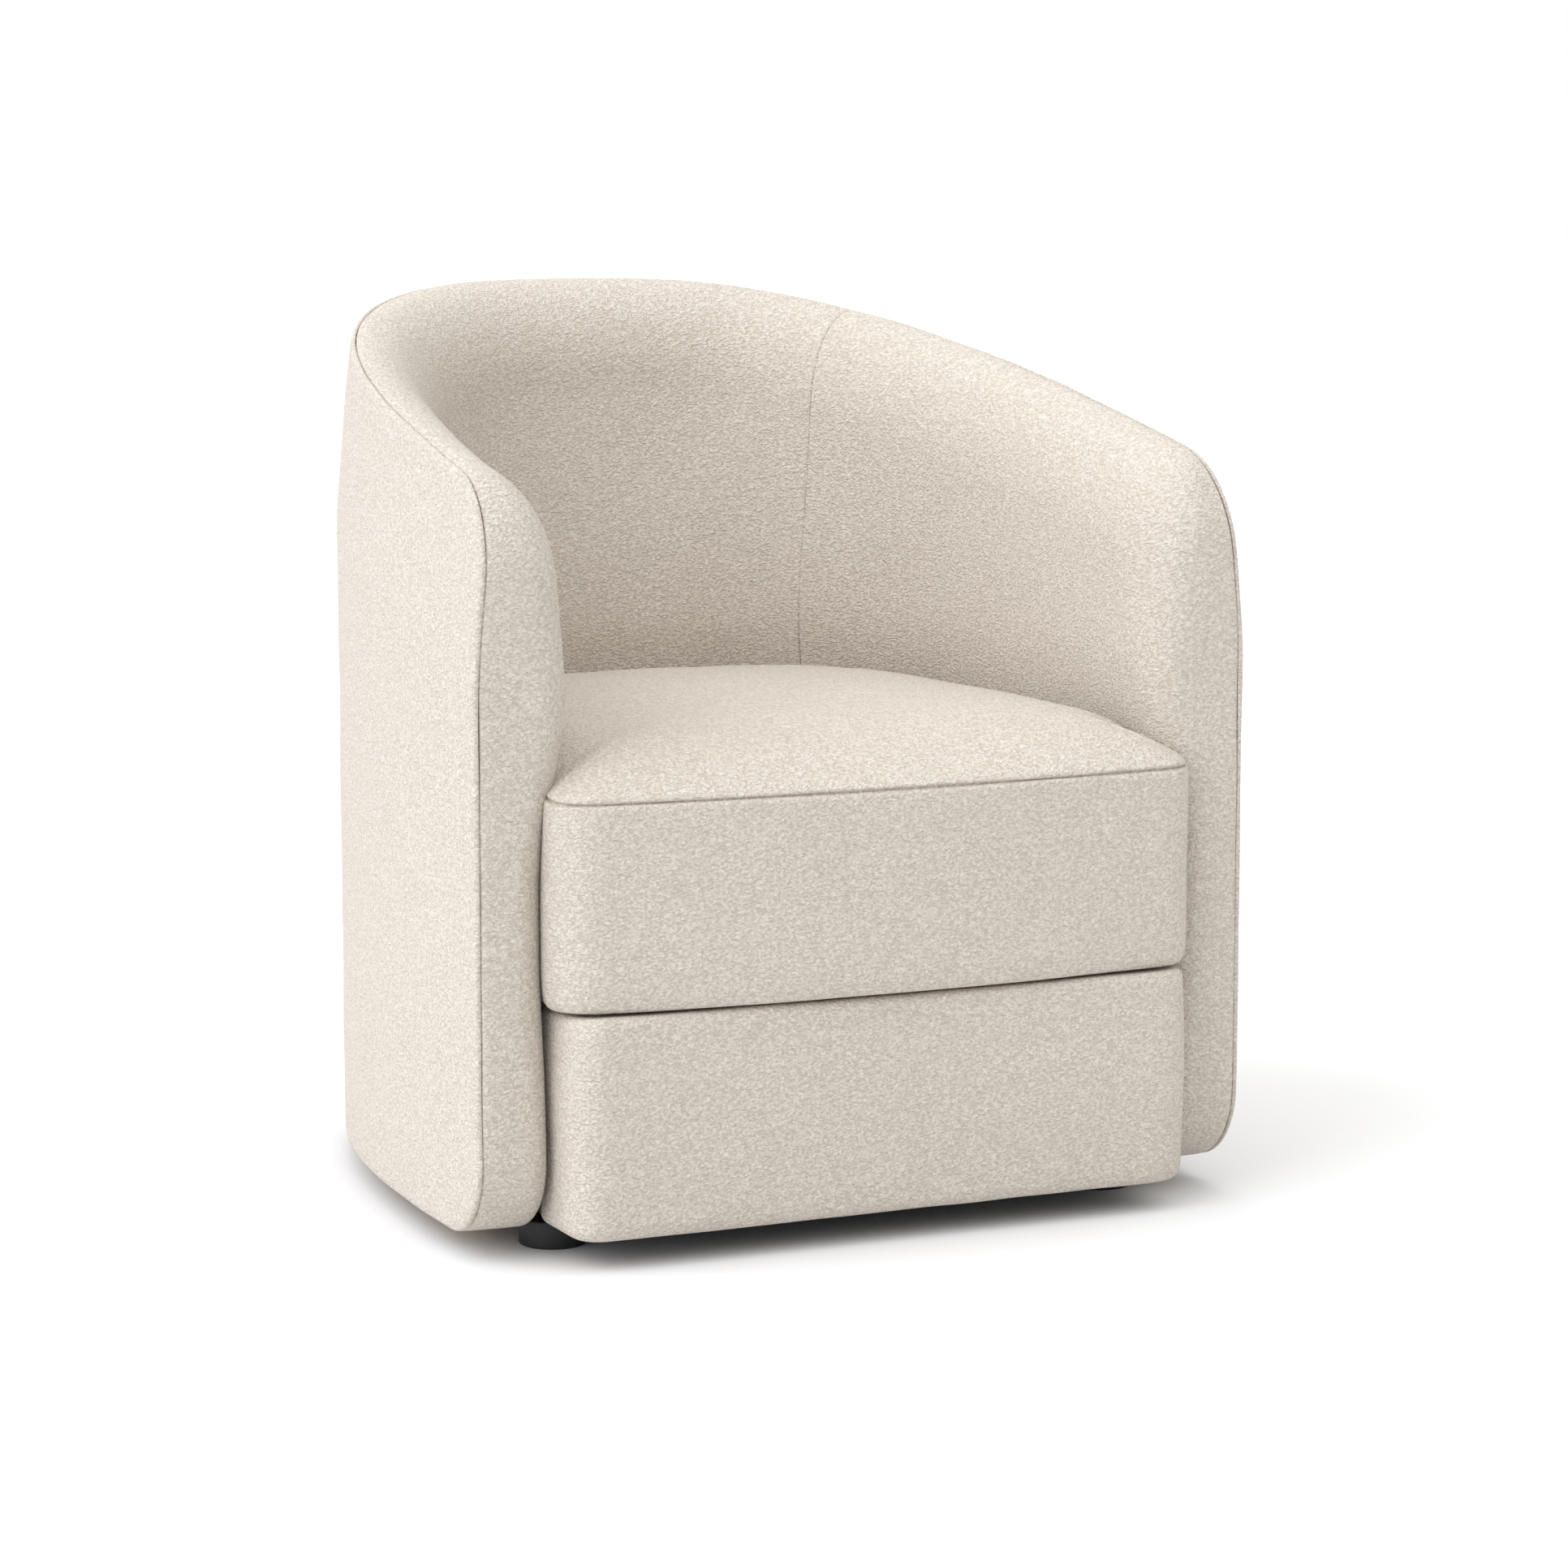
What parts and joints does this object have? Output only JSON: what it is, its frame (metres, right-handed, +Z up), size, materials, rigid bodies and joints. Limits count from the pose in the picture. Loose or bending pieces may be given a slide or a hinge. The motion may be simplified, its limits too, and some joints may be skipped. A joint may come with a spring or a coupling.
{
  "type": "upholstered armchair",
  "caption": "Low tub armchair: one padded wall wraps the arms and back round a thick loose seat cushion on a padded base with low glide feet.",
  "frame": {"origin": "on the floor, under the middle of the chair's box", "axes": "+Z up, the chair faces -Y, +X is its right-hand side seen from the front"},
  "size_m": [0.7, 0.75, 0.774],
  "materials": {
    "boucle": "matte",
    "foam": "matte",
    "wadding": "matte",
    "hardboard": "matte",
    "plywood": "matte",
    "steel": "satin",
    "foot_plastic": "satin",
    "zip_tape": "matte",
    "felt": "matte",
    "dust_cloth": "matte"
  },
  "bodies": {
    "chair": {"arm_front_post_left": "plywood", "arm_front_post_right": "plywood", "arm_middle_post_left": "plywood", "arm_middle_post_right": "plywood", "back_post_centre": "plywood", "back_post_left": "plywood", "back_post_right": "plywood", "base_board": "plywood", "base_cover": "boucle", "base_padding": "foam", "corner_block_front_left": "plywood", "corner_block_front_right": "plywood", "corner_block_rear_left": "plywood", "corner_block_rear_right": "plywood", "deck_cloth": "boucle", "deck_pad": "felt", "dust_cover": "dust_cloth", "foot_front_left": "foot_plastic", "foot_front_right": "foot_plastic", "foot_rear_left": "foot_plastic", "foot_rear_right": "foot_plastic", "foot_screw_front_left": "steel", "foot_screw_front_right": "steel", "foot_screw_rear_left": "steel", "foot_screw_rear_right": "steel", "frame_bolt_left_1": "steel", "frame_bolt_left_2": "steel", "frame_bolt_right_1": "steel", "frame_bolt_right_2": "steel", "inner_board": "hardboard", "inner_cover_back": "boucle", "inner_cover_left": "boucle", "inner_cover_right": "boucle", "inner_padding_back": "foam", "inner_padding_left": "foam", "inner_padding_right": "foam", "lower_rail": "plywood", "outer_board": "hardboard", "outer_cover": "boucle", "outer_wadding": "wadding", "seat_cross_rail": "plywood", "seat_front_rail": "plywood", "seat_ring": "plywood", "seat_spring_1": "steel", "seat_spring_2": "steel", "seat_spring_3": "steel", "seat_spring_4": "steel", "seat_spring_5": "steel", "top_rail": "plywood"},
    "seat_cushion": {"cushion_core": "foam", "cushion_cover": "boucle", "cushion_zip": "zip_tape"}
  },
  "joints": [
    {"name": "cushion_slide", "type": "slide", "parent": "chair", "child": "seat_cushion", "axis": [0, -1, 0], "range_m": [0, 0.28]}
  ]
}
